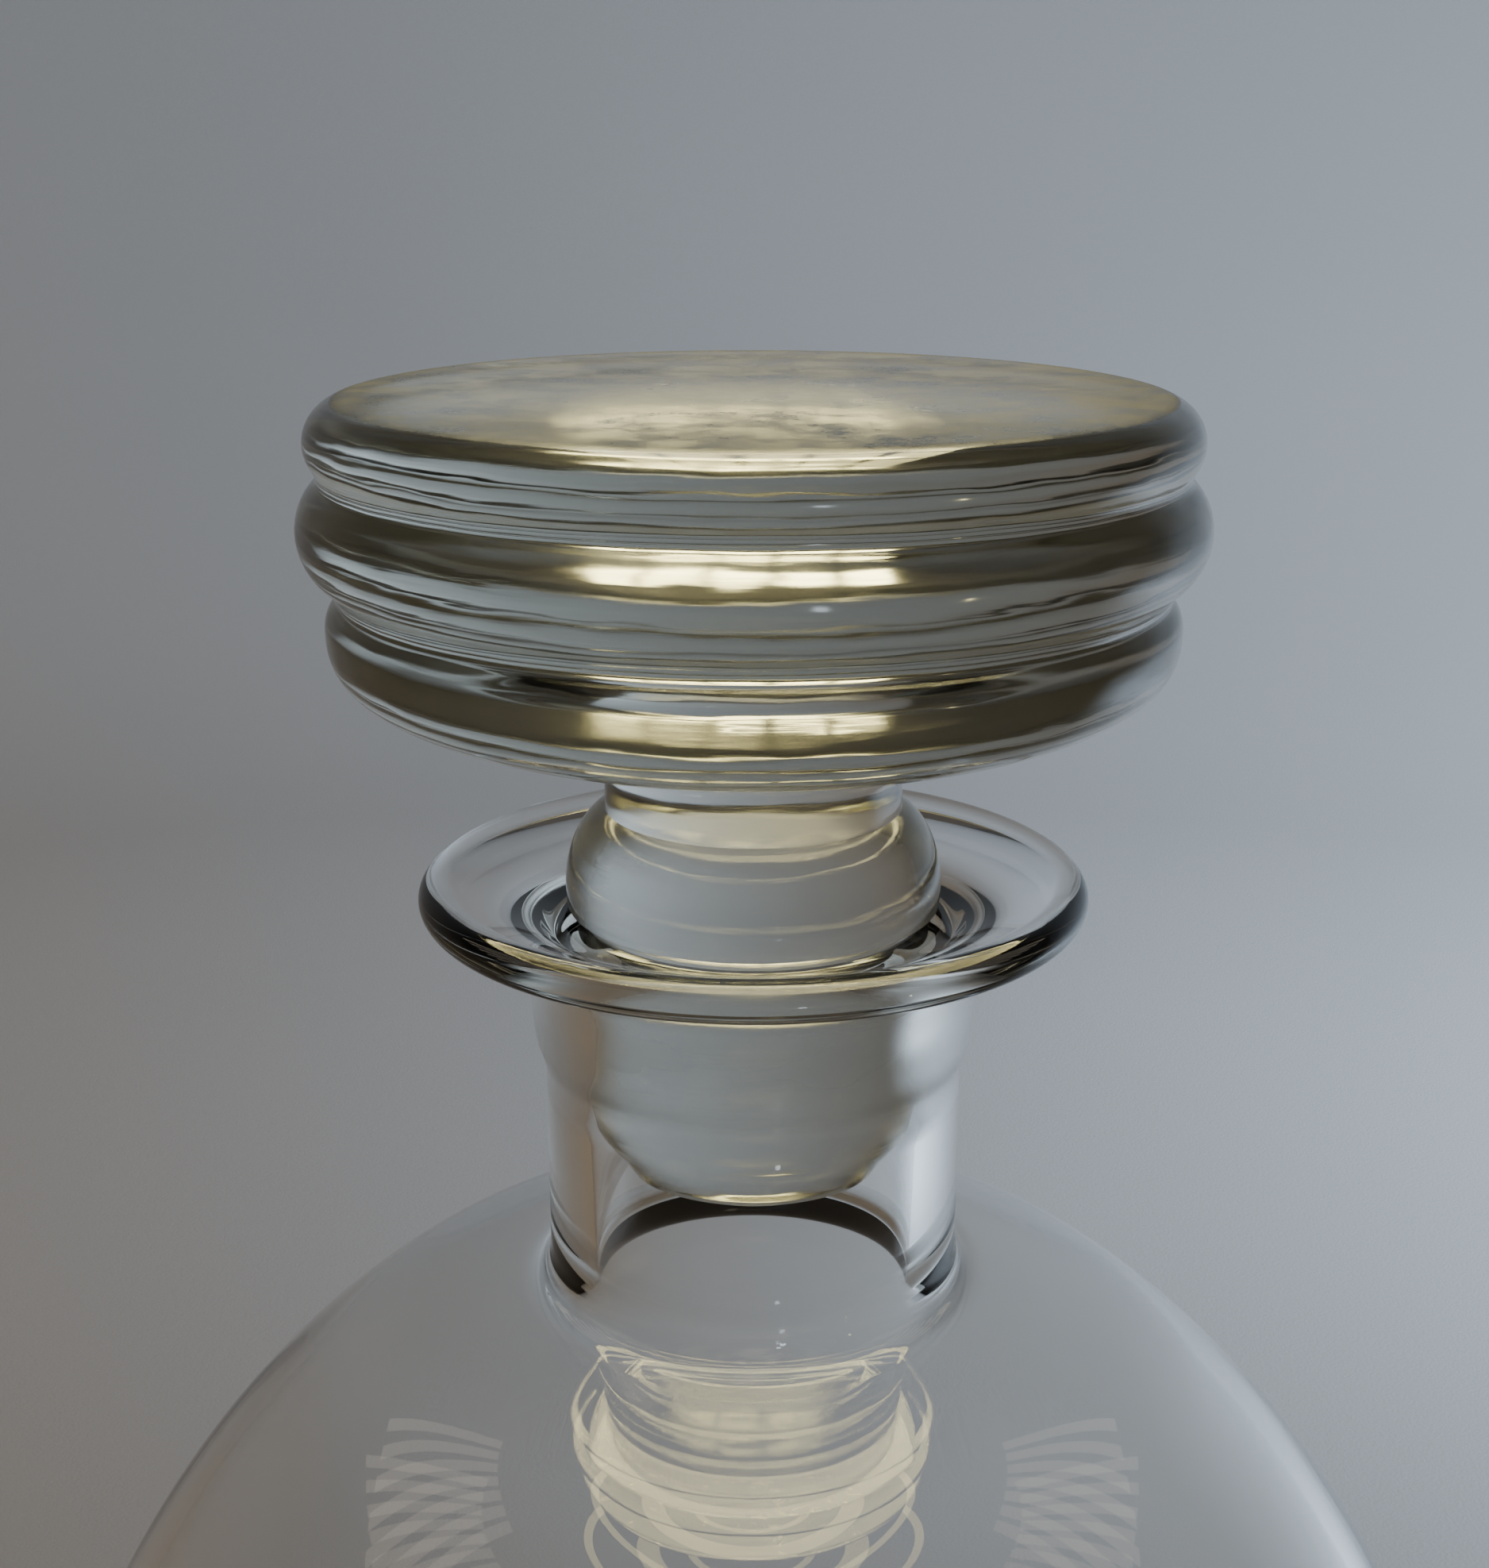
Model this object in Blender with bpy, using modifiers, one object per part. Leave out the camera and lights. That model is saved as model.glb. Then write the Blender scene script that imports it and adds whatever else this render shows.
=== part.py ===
"""Separatory funnel: a pear-shaped glass vessel with a flanged neck, a beaded ground stopper and a stopcock.

Metres, +Z up. The origin is the centre of the circle where the bulb sits in its support ring.
The stopper lifts along +Z, and the key of the stopcock turns about the X axis.
"""

import math

import bmesh
import bpy

# Driving dimensions
HEAD_RADIUS = 0.0320        # stopper, at its middle bead
FLANGE_RADIUS = 0.0247
NECK_RADIUS = 0.0157
NECK_BORE = 0.0121
SOCKET_RADIUS = 0.0120      # wide end of the ground socket: a 24 mm joint
SOCKET_TAPER = 0.05         # change of radius along the joint: 1 in 10 on the diameter
BULB_RADIUS = 0.0630
SHOULDER_HEIGHT = 0.0802    # from the widest circle up to the closed top of the shoulder's curve
TAPER_HEIGHT = 0.1330       # from the widest circle down to the outlet
WALL = 0.0022
OUTLET_RADIUS = 0.0090
OUTLET_BORE = 0.0052
STEM_RADIUS = 0.0060
STEM_BORE = 0.0035
STEM_LENGTH = 0.0700
BARREL_LENGTH = 0.0360
KEY_RADIUS = 0.0068         # of the tapered bore, at the middle of the barrel
KEY_TAPER = 0.1             # change of radius along the key: 1 in 5 on the diameter
KEY_PORT = 0.0020           # radius of the hole across the key
HANDLE_LENGTH = 0.0460
GAP = 0.0003                # between solids that touch on the real object
TURN_STEPS = 32

# Heights, from the ring seat at zero
WIDEST_Z = 0.0520
FLANGE_Z = WIDEST_Z + 0.1061
SEAM_Z = FLANGE_Z - 0.0285              # the neck is fused to the bulb here
OUTLET_Z = WIDEST_Z - TAPER_HEIGHT
STUB_HEIGHT = 0.0130                    # from the stopcock's axis to the bulb and to the stem
BARREL_Z = OUTLET_Z - GAP - STUB_HEIGHT
STEM_TOP_Z = BARREL_Z - STUB_HEIGHT - GAP
MM = 0.001


def clear_scene():
    for obj in list(bpy.data.objects):
        bpy.data.objects.remove(obj, do_unlink=True)


def new_collection(name, hidden=False):
    collection = bpy.data.collections.new(name)
    collection.hide_render = hidden
    bpy.context.scene.collection.children.link(collection)
    return collection


def new_material(name, colour, roughness, transmission=0.0):
    material = bpy.data.materials.new(name)
    material.use_nodes = True
    shader = material.node_tree.nodes["Principled BSDF"]
    shader.inputs["Base Color"].default_value = (*colour, 1.0)
    shader.inputs["Roughness"].default_value = roughness
    shader.inputs["Metallic"].default_value = 0.0
    shader.inputs["IOR"].default_value = 1.5
    shader.inputs["Transmission Weight"].default_value = transmission
    material.diffuse_color = (*colour, 1.0)
    return material


# Points along an outline, as (radius, height)

def arc(centre, radii, start, end, count):
    """Points on an ellipse's arc. Angles are in degrees, from outwards towards upwards."""
    angles = [math.radians(start + (end - start) * i / (count - 1)) for i in range(count)]
    return [(centre[0] + radii[0] * math.cos(a), centre[1] + radii[1] * math.sin(a)) for a in angles]


def bezier(ends, handles, count):
    """Points on a cubic curve between two ends, each end with its handle."""
    points = []
    for i in range(count):
        t = i / (count - 1)
        weights = ((1 - t) ** 3, 3 * t * (1 - t) ** 2, 3 * t * t * (1 - t), t ** 3)
        controls = (ends[0], handles[0], handles[1], ends[1])
        points.append(tuple(sum(w * c[k] for w, c in zip(weights, controls)) for k in (0, 1)))
    return points


def square_arc(centre_z, radius, depth, squareness, end, count):
    """Points from the rim of a dished underside inwards; a squareness of 2 is an ellipse."""
    power = 2 / squareness
    angles = [math.radians(end * (i + 1) / count) for i in range(count)]
    return [(radius * math.cos(a) ** power, centre_z - depth * math.sin(a) ** power) for a in angles]


# Solids

def add_object(name, mesh, material, collection):
    obj = bpy.data.objects.new(name, mesh)
    obj.data.materials.append(material)
    collection.objects.link(obj)
    return obj


def turned(name, outline, material, collection, closed=False, steps=TURN_STEPS):
    """A solid of revolution about its own Z axis. The outline runs down the outer side."""
    bm = bmesh.new()
    points = [bm.verts.new((radius, 0.0, height)) for radius, height in outline]
    pairs = list(zip(points, points[1:]))
    if closed:
        pairs.append((points[-1], points[0]))
    for pair in pairs:
        bm.edges.new(pair)
    mesh = bpy.data.meshes.new(name)
    bm.to_mesh(mesh)
    bm.free()
    obj = add_object(name, mesh, material, collection)
    screw = obj.modifiers.new("Turn", "SCREW")
    screw.steps = steps
    screw.render_steps = steps
    screw.use_merge_vertices = True
    screw.merge_threshold = 0.00001
    screw.use_smooth_shade = True
    return obj


def lay_along_x(obj, height):
    """Turns a solid of revolution so that its own +Z points along +X, with its axis at this height."""
    obj.rotation_euler = (0.0, math.pi / 2, 0.0)
    obj.location = (0.0, 0.0, height)


def cone(name, bottom_radius, top_radius, length, material, collection, steps=TURN_STEPS):
    """A cone or cylinder centred on its own origin, along its own Z axis."""
    bm = bmesh.new()
    bmesh.ops.create_cone(
        bm, cap_ends=True, segments=steps, radius1=bottom_radius, radius2=top_radius, depth=length
    )
    mesh = bpy.data.meshes.new(name)
    bm.to_mesh(mesh)
    bm.free()
    return add_object(name, mesh, material, collection)


def block(name, size, material, collection):
    bm = bmesh.new()
    bmesh.ops.create_cube(bm, size=1.0)
    bmesh.ops.scale(bm, vec=size, verts=bm.verts)
    mesh = bpy.data.meshes.new(name)
    bm.to_mesh(mesh)
    bm.free()
    return add_object(name, mesh, material, collection)


def combine(obj, other, operation):
    boolean = obj.modifiers.new(operation.title() + " " + other.name, "BOOLEAN")
    boolean.operation = operation
    boolean.object = other
    boolean.solver = "EXACT"


def as_cutter(obj):
    obj.hide_render = True
    obj.display_type = "WIRE"
    return obj


# The glass vessel, from the top down

def make_flanged_neck(parts, glass):
    """Flange, ground socket and plain neck, down to the seam where the neck is fused to the bulb."""
    rim = arc((FLANGE_RADIUS - 1.5 * MM, -0.1 * MM), (1.5 * MM, 1.4 * MM), 90, -90, 7)
    underside = bezier(
        ((20.5 * MM, -2.1 * MM), (16.8 * MM, -6.4 * MM)), ((17.8 * MM, -2.9 * MM), (16.9 * MM, -4.0 * MM)), 5
    )
    waist = bezier(
        ((16.6 * MM, -9.5 * MM), (NECK_RADIUS, -15.0 * MM)), ((16.5 * MM, -12.5 * MM), (NECK_RADIUS, -12.0 * MM)), 5
    )
    seam = SEAM_Z - FLANGE_Z
    socket_end = -14.0 * MM
    mouth = (SOCKET_RADIUS, -2.9 * MM)
    socket = [
        (NECK_BORE, seam),
        (NECK_BORE, -17.6 * MM),
        (SOCKET_RADIUS + SOCKET_TAPER * (socket_end - mouth[1]), socket_end),
        mouth,
    ]
    lip = bezier((mouth, (13.4 * MM, -1.9 * MM)), ((12.1 * MM, -2.2 * MM), (12.6 * MM, -1.9 * MM)), 4)[1:]
    dish = [(19.0 * MM, -0.3 * MM)]
    outline = rim + underside + waist + [(NECK_RADIUS, seam)] + socket + lip + dish
    neck = turned("flanged_neck", outline, glass, parts, closed=True)
    neck.location.z = FLANGE_Z
    return neck


def make_bulb_halves(parts, glass):
    """Thin shell, as two halves that are fused at the widest circle: the shoulder, and the taper to the outlet."""
    seam = SEAM_Z - GAP - WIDEST_Z

    def shoulder_side(radius, height, collar, foot, brow):
        """One surface of the upper half: fillet, gently sloping crown, and the ellipse down to the widest circle."""
        lift = math.acos(brow / radius)
        brow_z = height * math.sin(lift)
        slope = (height / radius) ** 2 * brow / brow_z
        turn_in = ((collar, foot[1] + 0.8 * MM), (foot[0] - 1.4 * MM, foot[1] + 0.3 * MM))
        fillet = bezier(((collar, seam), foot), turn_in, 5)
        reach = 0.2 * brow
        run_out = ((foot[0] + reach, foot[1] - 0.22 * reach), (brow - reach, brow_z + slope * reach))
        crown = bezier((foot, (brow, brow_z)), run_out, 6)
        return fillet + crown[1:] + arc((0.0, 0.0), (radius, height), math.degrees(lift), 0, 8)[1:]

    def taper_side(radius, outlet, handle):
        """One surface of the lower half, from just below the widest circle down to the outlet."""
        ends = ((radius, 0.0), (outlet, -TAPER_HEIGHT))
        return [(radius, -GAP)] + bezier(ends, ((radius, -64.0 * MM), (handle, -95.0 * MM)), 11)[1:]

    outside_foot = (18.5 * MM, 74.6 * MM)
    inside_foot = (15.5 * MM, 72.4 * MM)
    outside = shoulder_side(BULB_RADIUS, SHOULDER_HEIGHT, NECK_RADIUS, outside_foot, 36.0 * MM)
    inside = shoulder_side(BULB_RADIUS - WALL, SHOULDER_HEIGHT - WALL, NECK_BORE, inside_foot, 34.5 * MM)
    upper = turned("bulb_shoulder", outside + inside[::-1], glass, parts, closed=True)
    upper.location.z = WIDEST_Z
    outside = taper_side(BULB_RADIUS, OUTLET_RADIUS, 14.5 * MM)
    inside = taper_side(BULB_RADIUS - WALL, OUTLET_BORE, 11.5 * MM)
    lower = turned("bulb_taper", outside + inside[::-1], glass, parts, closed=True)
    lower.location.z = WIDEST_Z
    return upper, lower


def make_stopcock_barrel(parts, cutters, glass):
    """Tapered barrel across the outlet, with a stub up to the bulb and one down to the stem."""
    half = BARREL_LENGTH / 2
    outside = [
        (0.0, half),
        (11.2 * MM, half),
        (11.6 * MM, half - 1.0 * MM),
        (11.0 * MM, half - 2.4 * MM),
        (8.2 * MM, 2.0 * MM - half),
        (8.6 * MM, 1.0 * MM - half),
        (8.2 * MM, -half),
        (0.0, -half),
    ]
    barrel = turned("stopcock_barrel", outside, glass, parts)
    lay_along_x(barrel, BARREL_Z)
    stub_middle = STUB_HEIGHT / 2
    upper = as_cutter(cone("upper_stub", OUTLET_RADIUS, OUTLET_RADIUS, STUB_HEIGHT, glass, cutters))
    upper.location.z = BARREL_Z + stub_middle
    lower = as_cutter(cone("lower_stub", STEM_RADIUS, STEM_RADIUS, STUB_HEIGHT, glass, cutters))
    lower.location.z = BARREL_Z - stub_middle
    spare = 2.0 * MM
    bore_length = BARREL_LENGTH + 2 * spare
    change = KEY_TAPER * bore_length / 2
    bore = as_cutter(cone("key_bore", KEY_RADIUS - change, KEY_RADIUS + change, bore_length, glass, cutters))
    lay_along_x(bore, BARREL_Z)
    passage = as_cutter(cone("passage", 2.6 * MM, 2.6 * MM, 3 * STUB_HEIGHT, glass, cutters, 20))
    passage.location.z = BARREL_Z
    funnel = as_cutter(cone("outlet_funnel", 2.4 * MM, OUTLET_BORE, 5.0 * MM, glass, cutters, 20))
    funnel.location.z = BARREL_Z + STUB_HEIGHT - 2.4 * MM
    combine(barrel, upper, "UNION")
    combine(barrel, lower, "UNION")
    for cutter in (bore, passage, funnel):
        combine(barrel, cutter, "DIFFERENCE")
    return barrel


def make_drip_stem(parts, cutters, glass):
    """Straight tube with its tip cut on the slant."""
    outline = [
        (STEM_RADIUS, 0.0),
        (STEM_RADIUS, -STEM_LENGTH),
        (STEM_BORE, -STEM_LENGTH),
        (STEM_BORE, 0.0),
    ]
    stem = turned("drip_stem", outline, glass, parts, closed=True, steps=24)
    stem.location.z = STEM_TOP_Z
    slant = as_cutter(block("slant_cut", (0.04, 0.04, 0.02), glass, cutters))
    tilt = math.radians(35)
    slant.rotation_euler.y = tilt
    depth = 0.01 / math.cos(tilt) + STEM_RADIUS * math.tan(tilt) - 0.2 * MM
    slant.location.z = STEM_TOP_Z - STEM_LENGTH - depth + 2 * STEM_RADIUS * math.tan(tilt)
    combine(stem, slant, "DIFFERENCE")
    return stem


def make_ground_stopper(parts, glass):
    """Solid stopper: flat top, three beads, waist, collar and a ground taper plug."""
    half = 4.0 * MM
    top_bead = arc((HEAD_RADIUS - half + 0.2 * MM, 33.4 * MM), (3.0 * MM, 2.9 * MM), 90, -45, 7)
    middle_bead = arc((HEAD_RADIUS - half, 27.4 * MM), (half, 4.2 * MM), 58, -68, 7)
    lower_bead = arc((27.0 * MM, 20.6 * MM), (3.3 * MM, 2.7 * MM), 50, 0, 4)
    underside = square_arc(20.6 * MM, 30.3 * MM, 8.3 * MM, 2.7, 68, 7)
    cove = arc((14.6 * MM, 8.6 * MM), (3.7 * MM, 4.1 * MM), 100, 180, 5)
    collar = arc((9.9 * MM, 0.4 * MM), (4.0 * MM, 6.1 * MM), 75, -14, 7)
    plug_top = -2.9 * MM
    plug_end = -16.8 * MM
    plug_radius = SOCKET_RADIUS - GAP
    plug = [
        (13.0 * MM, -1.5 * MM),
        (plug_radius, plug_top + 1.3 * MM),
        (plug_radius + SOCKET_TAPER * (plug_end - plug_top), plug_end),
        (10.5 * MM, -18.9 * MM),
        (9.2 * MM, -21.0 * MM),
        (6.9 * MM, -22.2 * MM),
        (0.0, -22.2 * MM),
    ]
    head_top = 36.3 * MM
    outline = [(0.0, head_top)] + top_bead + middle_bead + lower_bead + underside + cove + collar + plug
    stopper = turned("ground_stopper", outline, glass, parts)
    stopper.location.z = FLANGE_Z
    return stopper


# The stopcock's loose pieces, each turned about the X axis

def make_stopcock_key(parts, cutters, material):
    """Tapered key with a cross port, a bar handle at its wide end and a threaded tail."""
    half = BARREL_LENGTH / 2
    taper_end = -half + 1.0 * MM
    shoulder = half + GAP
    outline = [
        (0.0, shoulder + 3.0 * MM),
        (9.4 * MM, shoulder + 3.0 * MM),
        (10.0 * MM, shoulder + 2.4 * MM),
        (10.0 * MM, shoulder + 0.6 * MM),
        (9.4 * MM, shoulder),
        (KEY_RADIUS + KEY_TAPER * shoulder - GAP, shoulder),
        (KEY_RADIUS + KEY_TAPER * taper_end - GAP, taper_end),
        (3.4 * MM, taper_end),
        (3.4 * MM, -half - 13.5 * MM),
        (2.9 * MM, -half - 14.0 * MM),
        (0.0, -half - 14.0 * MM),
    ]
    key = turned("stopcock_key", outline, material, parts)
    lay_along_x(key, BARREL_Z)
    thickness = 7.0 * MM
    depth = 13.0 * MM
    handle = as_cutter(block("bar_handle", (depth, HANDLE_LENGTH, thickness), material, cutters))
    handle.location = (shoulder + 2.0 * MM + depth / 2, 0.0, BARREL_Z)
    bevel = handle.modifiers.new("Round", "BEVEL")
    bevel.width = 2.4 * MM
    bevel.segments = 3
    port = as_cutter(cone("key_port", KEY_PORT, KEY_PORT, 0.03, material, cutters, 20))
    port.location.z = BARREL_Z
    port.rotation_euler.x = math.pi / 2
    combine(key, handle, "UNION")
    combine(key, port, "DIFFERENCE")
    return key


def make_key_washer(parts, material, start):
    outline = [(7.4 * MM, start), (7.4 * MM, start - 1.6 * MM), (3.7 * MM, start - 1.6 * MM), (3.7 * MM, start)]
    washer = turned("key_washer", outline, material, parts, closed=True, steps=24)
    lay_along_x(washer, BARREL_Z)
    return washer


def make_key_o_ring(parts, material, start):
    radius = 1.3 * MM
    outline = arc((3.7 * MM + radius, start - radius), (radius, radius), 90, -240, 12)
    ring = turned("key_o_ring", outline, material, parts, closed=True, steps=24)
    lay_along_x(ring, BARREL_Z)
    return ring


def make_retaining_nut(parts, material, start):
    """Round nut with a wide grip, screwed onto the key's tail."""
    outline = [
        (6.4 * MM, start),
        (7.6 * MM, start - 1.0 * MM),
        (8.0 * MM, start - 2.0 * MM),
        (8.0 * MM, start - 6.4 * MM),
        (7.2 * MM, start - 7.4 * MM),
        (3.7 * MM, start - 7.4 * MM),
        (3.7 * MM, start),
    ]
    nut = turned("retaining_nut", outline, material, parts, closed=True, steps=24)
    lay_along_x(nut, BARREL_Z)
    return nut


def main():
    clear_scene()
    parts = new_collection("separatory_funnel")
    cutters = new_collection("cutters", hidden=True)
    clear_glass = new_material("clear_glass", (0.90, 0.93, 0.92), 0.02, 1.0)
    stopper_glass = new_material("stopper_glass", (0.88, 0.91, 0.90), 0.03, 1.0)
    white_ptfe = new_material("white_ptfe", (0.88, 0.88, 0.86), 0.35)
    washer_ptfe = new_material("washer_ptfe", (0.86, 0.86, 0.84), 0.4)
    black_rubber = new_material("black_rubber", (0.02, 0.02, 0.02), 0.6)
    nut_plastic = new_material("nut_plastic", (0.06, 0.20, 0.34), 0.35)

    make_flanged_neck(parts, clear_glass)
    make_bulb_halves(parts, clear_glass)
    make_stopcock_barrel(parts, cutters, clear_glass)
    make_drip_stem(parts, cutters, clear_glass)
    make_ground_stopper(parts, stopper_glass)
    make_stopcock_key(parts, cutters, white_ptfe)
    washer_start = -BARREL_LENGTH / 2 - GAP
    o_ring_start = washer_start - 1.6 * MM - GAP
    nut_start = o_ring_start - 2.6 * MM - GAP
    make_key_washer(parts, washer_ptfe, washer_start)
    make_key_o_ring(parts, black_rubber, o_ring_start)
    make_retaining_nut(parts, nut_plastic, nut_start)


main()
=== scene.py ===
"""Looks of the separatory funnel, on a pale studio floor.

Clear fused glass, a solid ground stopper and a PTFE stopcock.
"""

import math

import bmesh
import bpy
from mathutils import Matrix, Vector


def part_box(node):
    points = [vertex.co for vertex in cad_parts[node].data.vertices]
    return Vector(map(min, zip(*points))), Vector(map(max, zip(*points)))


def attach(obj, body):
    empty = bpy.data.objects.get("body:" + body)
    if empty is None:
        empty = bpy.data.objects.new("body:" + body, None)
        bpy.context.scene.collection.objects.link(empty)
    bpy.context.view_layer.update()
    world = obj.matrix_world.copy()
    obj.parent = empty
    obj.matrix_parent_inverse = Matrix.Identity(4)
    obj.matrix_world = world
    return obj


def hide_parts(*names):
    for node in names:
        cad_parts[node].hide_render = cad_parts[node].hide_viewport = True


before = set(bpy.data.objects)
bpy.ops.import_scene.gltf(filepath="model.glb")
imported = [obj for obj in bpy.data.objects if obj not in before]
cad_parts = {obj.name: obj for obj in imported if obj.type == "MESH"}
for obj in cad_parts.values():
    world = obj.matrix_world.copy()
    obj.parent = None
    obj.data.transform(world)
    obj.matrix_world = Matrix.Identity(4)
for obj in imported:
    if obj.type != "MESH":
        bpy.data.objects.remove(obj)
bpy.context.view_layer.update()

MM = 0.001
neck_low, neck_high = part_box("flanged_neck")
shoulder_low, shoulder_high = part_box("bulb_shoulder")
taper_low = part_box("bulb_taper")[0]
stem_low, stem_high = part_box("drip_stem")
barrel_low, barrel_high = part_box("stopcock_barrel")
stopper_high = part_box("ground_stopper")[1]

# The vessel's own levels and radii
FLANGE_Z = neck_high.z - 1.3 * MM       # middle of the flange's rim
SEAM_Z = neck_low.z                     # the neck is fused to the bulb here
WIDEST_Z = shoulder_low.z               # where the two halves of the bulb meet
OUTLET_Z = taper_low.z
BARREL_Z = (barrel_low.z + barrel_high.z) / 2
TIP_Z = stem_low.z
BULB_RADIUS = shoulder_high.x
HEAD_RADIUS = stopper_high.x
FLANGE_RADIUS = neck_high.x
NECK_RADIUS = 15.7 * MM
NECK_BORE = 12.1 * MM
WALL = 2.2 * MM
SHOULDER_HEIGHT = 80.2 * MM
OUTLET_RADIUS = 9.0 * MM
OUTLET_BORE = 5.2 * MM
STEM_RADIUS = stem_high.x
STEM_BORE = 3.5 * MM
SOCKET_RADIUS = 12.0 * MM
SOCKET_TAPER = 0.05
KEY_RADIUS = 6.8 * MM
KEY_TAPER = 0.1
TURN_STEPS = 192
FINE_STEPS = 96         # for the stopcock and the studio


# Outlines, as (radius, height)

def arc(centre, radii, start, end, count):
    """Points on an ellipse's arc. Angles are in degrees, from outwards towards upwards."""
    angles = [math.radians(start + (end - start) * i / (count - 1)) for i in range(count)]
    return [(centre[0] + radii[0] * math.cos(a), centre[1] + radii[1] * math.sin(a)) for a in angles]


def bezier(ends, handles, count):
    """Points on a cubic curve between two ends, each end with its handle."""
    points = []
    for i in range(count):
        t = i / (count - 1)
        weights = ((1 - t) ** 3, 3 * t * (1 - t) ** 2, 3 * t * t * (1 - t), t ** 3)
        controls = (ends[0], handles[0], handles[1], ends[1])
        points.append(tuple(sum(w * c[k] for w, c in zip(weights, controls)) for k in (0, 1)))
    return points


def millimetres(*pairs):
    return [(radius * MM, height * MM) for radius, height in pairs]


def lifted(outline, height):
    return [(radius, level + height) for radius, level in outline]


# Meshes

def mesh_piece(name, bm):
    mesh = bpy.data.meshes.new(name)
    bm.to_mesh(mesh)
    bm.free()
    mesh.shade_smooth()
    mesh.set_sharp_from_angle(angle=math.radians(38))
    piece = bpy.data.objects.new(name, mesh)
    bpy.context.scene.collection.objects.link(piece)
    return piece


def turned(outline, steps=TURN_STEPS, closed=False):
    """A solid of revolution about Z, as a bmesh."""
    bm = bmesh.new()
    points = [bm.verts.new((radius, 0.0, height)) for radius, height in outline]
    pairs = list(zip(points, points[1:]))
    if closed:
        pairs.append((points[-1], points[0]))
    edges = [bm.edges.new(pair) for pair in pairs]
    bmesh.ops.spin(
        bm, geom=points + edges, cent=(0, 0, 0), axis=(0, 0, 1), angle=math.tau, steps=steps, use_merge=True
    )
    bmesh.ops.remove_doubles(bm, verts=bm.verts, dist=0.000002)
    bmesh.ops.recalc_face_normals(bm, faces=bm.faces)
    return bm


def lay_along_x(bm, height):
    """Turns a bmesh about Z so that its own +Z points along +X, at this height."""
    turn = Matrix.Translation((0, 0, height)) @ Matrix.Rotation(math.pi / 2, 4, "Y")
    bmesh.ops.transform(bm, matrix=turn, verts=bm.verts)
    return bm


def combine(piece, other, operation):
    """Applies a Boolean between two pieces and removes the second."""
    boolean = piece.modifiers.new("Combine", "BOOLEAN")
    boolean.operation = operation
    boolean.object = other
    boolean.solver = "EXACT"
    graph = bpy.context.evaluated_depsgraph_get()
    made = bpy.data.meshes.new_from_object(piece.evaluated_get(graph))
    piece.modifiers.clear()
    old = piece.data
    made.name = piece.name
    piece.data = made
    bpy.data.meshes.remove(old)
    spare = other.data
    bpy.data.objects.remove(other)
    bpy.data.meshes.remove(spare)
    return piece


# Outlines of the glass

def shoulder_side(radius, height, collar, foot, brow):
    """Upper half of the bulb: fillet, gently sloping crown, and the ellipse down to the widest circle."""
    lift = math.acos(brow / radius)
    brow_z = height * math.sin(lift)
    slope = (height / radius) ** 2 * brow / brow_z
    start = (collar, SEAM_Z - WIDEST_Z)
    turn_in = ((collar, foot[1] + 0.8 * MM), (foot[0] - 1.4 * MM, foot[1] + 0.3 * MM))
    fillet = bezier((start, foot), turn_in, 14)
    reach = 0.2 * brow
    run_out = ((foot[0] + reach, foot[1] - 0.22 * reach), (brow - reach, brow_z + slope * reach))
    crown = bezier((foot, (brow, brow_z)), run_out, 20)
    wall = arc((0.0, 0.0), (radius, height), math.degrees(lift), 0, 34)
    return lifted(fillet + crown[1:] + wall[1:], WIDEST_Z)


def taper_side(radius, outlet, handle):
    """Lower half of the bulb, from the widest circle down to the outlet."""
    ends = ((radius, 0.0), (outlet, OUTLET_Z - WIDEST_Z))
    return lifted(bezier(ends, ((radius, -64.0 * MM), (handle, -95.0 * MM)), 44)[1:], WIDEST_Z)


def glass_outside():
    """Outer surface: flange rim, neck, bulb, the stub through the barrel, and the stem."""
    rim = arc((FLANGE_RADIUS - 1.5 * MM, -0.1 * MM), (1.5 * MM, 1.4 * MM), 90, -90, 24)
    underside = bezier(
        ((20.5 * MM, -2.1 * MM), (16.8 * MM, -6.4 * MM)),
        ((17.8 * MM, -2.9 * MM), (16.9 * MM, -4.0 * MM)),
        12,
    )
    waist = bezier(
        ((16.6 * MM, -9.5 * MM), (NECK_RADIUS, -15.0 * MM)),
        ((16.5 * MM, -12.5 * MM), (NECK_RADIUS, -12.0 * MM)),
        14,
    )
    shoulder_foot = (18.5 * MM, 74.6 * MM)
    bulb = shoulder_side(BULB_RADIUS, SHOULDER_HEIGHT, NECK_RADIUS, shoulder_foot, 36.0 * MM)
    bulb += taper_side(BULB_RADIUS, OUTLET_RADIUS, 14.5 * MM)
    foot = bezier(
        ((OUTLET_RADIUS, BARREL_Z), (STEM_RADIUS, BARREL_Z - 16.0 * MM)),
        ((OUTLET_RADIUS, BARREL_Z - 11.0 * MM), (STEM_RADIUS, BARREL_Z - 11.0 * MM)),
        10,
    )
    return lifted(rim + underside + waist, FLANGE_Z) + bulb + foot + [(STEM_RADIUS, TIP_Z)]


def glass_inside():
    """Inner surface, from the mouth down: lip, ground socket, bore, bulb and outlet."""
    lip = bezier(
        ((13.4 * MM, -1.9 * MM), (SOCKET_RADIUS, -2.9 * MM)),
        ((12.6 * MM, -1.9 * MM), (12.1 * MM, -2.2 * MM)),
        8,
    )
    socket_end = -14.0 * MM
    step = [
        (SOCKET_RADIUS + SOCKET_TAPER * (socket_end + 2.9 * MM), socket_end),
        (NECK_BORE - 0.15 * MM, -16.2 * MM),
        (NECK_BORE, -17.6 * MM),
    ]
    shoulder_foot = (15.5 * MM, 72.4 * MM)
    bulb = shoulder_side(BULB_RADIUS - WALL, SHOULDER_HEIGHT - WALL, NECK_BORE, shoulder_foot, 34.5 * MM)
    bulb += taper_side(BULB_RADIUS - WALL, OUTLET_BORE, 11.5 * MM)
    return lifted(lip + step, FLANGE_Z) + bulb


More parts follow.
